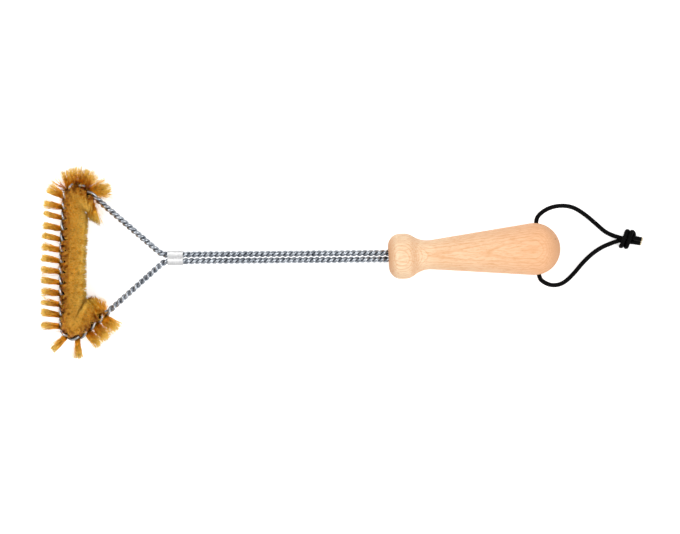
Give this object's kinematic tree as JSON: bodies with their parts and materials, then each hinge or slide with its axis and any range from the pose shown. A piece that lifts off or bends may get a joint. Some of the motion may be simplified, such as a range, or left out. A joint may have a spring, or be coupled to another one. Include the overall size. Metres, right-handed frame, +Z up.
{
  "type": "grill cleaning brush",
  "caption": "Three-sided twisted-wire grill brush with brass bristles, a long double wire shaft, a crimped sleeve, a turned beech handle and a knotted hanging cord.",
  "frame": {"origin": "under the middle of the brush's box, on the table it lies on, without the hanging cord", "axes": "+X from the bristled head along the shaft towards the handle, +Y across the brush along its bristled front, +Z up from the table"},
  "size_m": [0.5232, 0.171, 0.045],
  "materials": {
    "galvanised_wire": "bright galvanised drawn wire",
    "brass_bristles": "crimped fine brass filaments",
    "sleeve_metal": "bright satin, crimped",
    "beech": "sanded, unvarnished beech",
    "braided_cord": "black round braid"
  },
  "bodies": {
    "brush": {"arm_lower_wire_a": "galvanised_wire", "arm_lower_wire_b": "galvanised_wire", "arm_upper_wire_a": "galvanised_wire", "arm_upper_wire_b": "galvanised_wire", "bristle_tuft_01": "brass_bristles", "bristle_tuft_02": "brass_bristles", "bristle_tuft_03": "brass_bristles", "bristle_tuft_04": "brass_bristles", "bristle_tuft_05": "brass_bristles", "bristle_tuft_06": "brass_bristles", "bristle_tuft_07": "brass_bristles", "bristle_tuft_08": "brass_bristles", "bristle_tuft_09": "brass_bristles", "bristle_tuft_10": "brass_bristles", "bristle_tuft_11": "brass_bristles", "bristle_tuft_12": "brass_bristles", "bristle_tuft_13": "brass_bristles", "bristle_tuft_14": "brass_bristles", "bristle_tuft_15": "brass_bristles", "bristle_tuft_16": "brass_bristles", "bristle_tuft_17": "brass_bristles", "bristle_tuft_18": "brass_bristles", "bristle_tuft_19": "brass_bristles", "bristle_tuft_20": "brass_bristles", "bristle_tuft_21": "brass_bristles", "crimped_sleeve": "sleeve_metal", "front_wire_a": "galvanised_wire", "front_wire_b": "galvanised_wire", "handle": "beech", "shaft_lower_wire_a": "galvanised_wire", "shaft_lower_wire_b": "galvanised_wire", "shaft_upper_wire_a": "galvanised_wire", "shaft_upper_wire_b": "galvanised_wire"},
    "hang_loop": {"cord_in_handle": "braided_cord", "cord_knot": "braided_cord", "cord_leg_lower": "braided_cord", "cord_leg_upper": "braided_cord", "cord_tail_lower": "braided_cord", "cord_tail_upper": "braided_cord"}
  },
  "joints": [
    {"name": "hang_loop_swing", "type": "hinge", "parent": "brush", "child": "hang_loop", "pos_m": [0.20526, 0.00768, 0.02252], "axis": [0.0466, -0.9989, 0], "range_deg": [-120, 150]}
  ]
}
